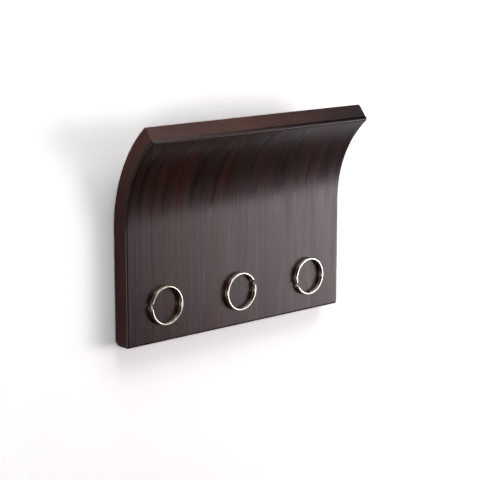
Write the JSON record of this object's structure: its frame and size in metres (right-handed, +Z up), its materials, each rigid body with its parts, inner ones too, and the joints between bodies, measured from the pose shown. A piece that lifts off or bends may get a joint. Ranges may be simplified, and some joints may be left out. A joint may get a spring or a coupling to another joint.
{
  "type": "key rack",
  "caption": "Curved bentwood wall panel that holds key rings on hidden magnets and letters in the pocket behind its forward-curling top; hangs on keyhole plates.",
  "frame": {"origin": "on the wall plane, midway between the round entries of the two keyhole plates in the back", "axes": "+X to the right as a person faces the rack, +Y into the wall (out of the rack's back), +Z up"},
  "size_m": [0.241, 0.0515, 0.1832],
  "materials": {
    "show_veneer": "dark espresso stain, satin lacquer, vertical straight grain",
    "core_ply": "edges stained to match the veneer, satin lacquer",
    "back_veneer": "dark espresso stain, satin lacquer",
    "magnet_nickel": "nickel-plated sintered magnet",
    "keeper_steel": "plain cold-rolled steel disc",
    "plug_wood": "dark stained wooden plug, satin",
    "hanger_steel": "zinc-plated pressed steel",
    "screw_steel": "zinc-plated, cross recess",
    "ring_nickel": "bright nickel-plated spring steel"
  },
  "bodies": {
    "panel": {"front_veneer": "show_veneer", "ply_1": "core_ply", "ply_2": "core_ply", "ply_3": "core_ply", "ply_4": "core_ply", "ply_5": "core_ply", "back_veneer": "back_veneer", "magnet_left": "magnet_nickel", "magnet_middle": "magnet_nickel", "magnet_right": "magnet_nickel", "keeper_left": "keeper_steel", "keeper_middle": "keeper_steel", "keeper_right": "keeper_steel", "plug_left": "plug_wood", "plug_middle": "plug_wood", "plug_right": "plug_wood", "keyhole_plate_left": "hanger_steel", "keyhole_plate_right": "hanger_steel", "plate_screws_left": "screw_steel", "plate_screws_right": "screw_steel"},
    "ring_left": {"ring_left": "ring_nickel"},
    "ring_middle": {"ring_middle": "ring_nickel"},
    "ring_right": {"ring_right": "ring_nickel"}
  },
  "joints": [
    {"name": "ring_left_pull", "type": "slide", "parent": "panel", "child": "ring_left", "axis": [0, -1, 0], "range_m": [0, 0.08]},
    {"name": "ring_middle_pull", "type": "slide", "parent": "panel", "child": "ring_middle", "axis": [0, -1, 0], "range_m": [0, 0.08]},
    {"name": "ring_right_pull", "type": "slide", "parent": "panel", "child": "ring_right", "axis": [0, -1, 0], "range_m": [0, 0.08]}
  ]
}
